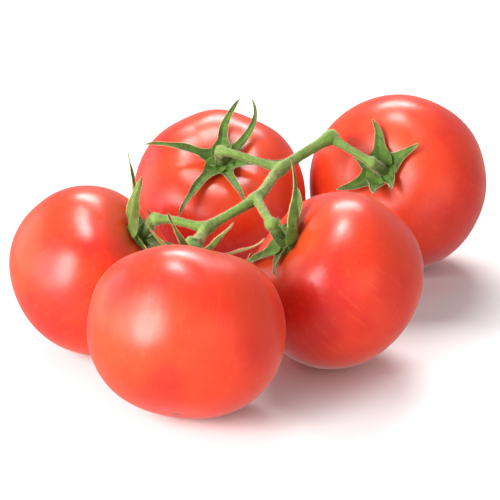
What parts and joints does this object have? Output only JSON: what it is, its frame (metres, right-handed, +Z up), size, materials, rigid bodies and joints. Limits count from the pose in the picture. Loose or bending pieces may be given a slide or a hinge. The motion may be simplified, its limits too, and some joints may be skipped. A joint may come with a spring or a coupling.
{
  "type": "truss of tomatoes",
  "caption": "Bunch of ripe red vine tomatoes still joined to one green truss stem by short knuckled stalks, each with a star of pointed sepals.",
  "frame": {"origin": "middle of the footprint on the surface the tomatoes rest on", "axes": "+X along the main stem, from its front end towards its cut end; +Z up; +Y to the left of that"},
  "size_m": [0.233, 0.1526, 0.0811],
  "materials": {
    "tomato_skin": null,
    "sepal_green": null,
    "stalk_green": null,
    "stem_green": null
  },
  "bodies": {
    "root": {"calyx_back": "stalk_green", "calyx_far": "stalk_green", "calyx_front": "stalk_green", "calyx_left": "stalk_green", "calyx_right": "stalk_green", "sepal_back_1": "sepal_green", "sepal_back_2": "sepal_green", "sepal_back_3": "sepal_green", "sepal_back_4": "sepal_green", "sepal_back_5": "sepal_green", "sepal_back_6": "sepal_green", "sepal_far_1": "sepal_green", "sepal_far_2": "sepal_green", "sepal_far_3": "sepal_green", "sepal_far_4": "sepal_green", "sepal_far_5": "sepal_green", "sepal_far_6": "sepal_green", "sepal_front_1": "sepal_green", "sepal_front_2": "sepal_green", "sepal_front_3": "sepal_green", "sepal_front_4": "sepal_green", "sepal_front_5": "sepal_green", "sepal_left_1": "sepal_green", "sepal_left_2": "sepal_green", "sepal_left_3": "sepal_green", "sepal_left_4": "sepal_green", "sepal_left_5": "sepal_green", "sepal_right_1": "sepal_green", "sepal_right_2": "sepal_green", "sepal_right_3": "sepal_green", "sepal_right_4": "sepal_green", "sepal_right_5": "sepal_green", "stalk_back": "stalk_green", "stalk_far": "stalk_green", "stalk_front": "stalk_green", "stalk_left": "stalk_green", "stalk_right": "stalk_green", "tomato_back": "tomato_skin", "tomato_far": "tomato_skin", "tomato_front": "tomato_skin", "tomato_left": "tomato_skin", "tomato_right": "tomato_skin", "truss_stem": "stem_green"}
  },
  "joints": []
}
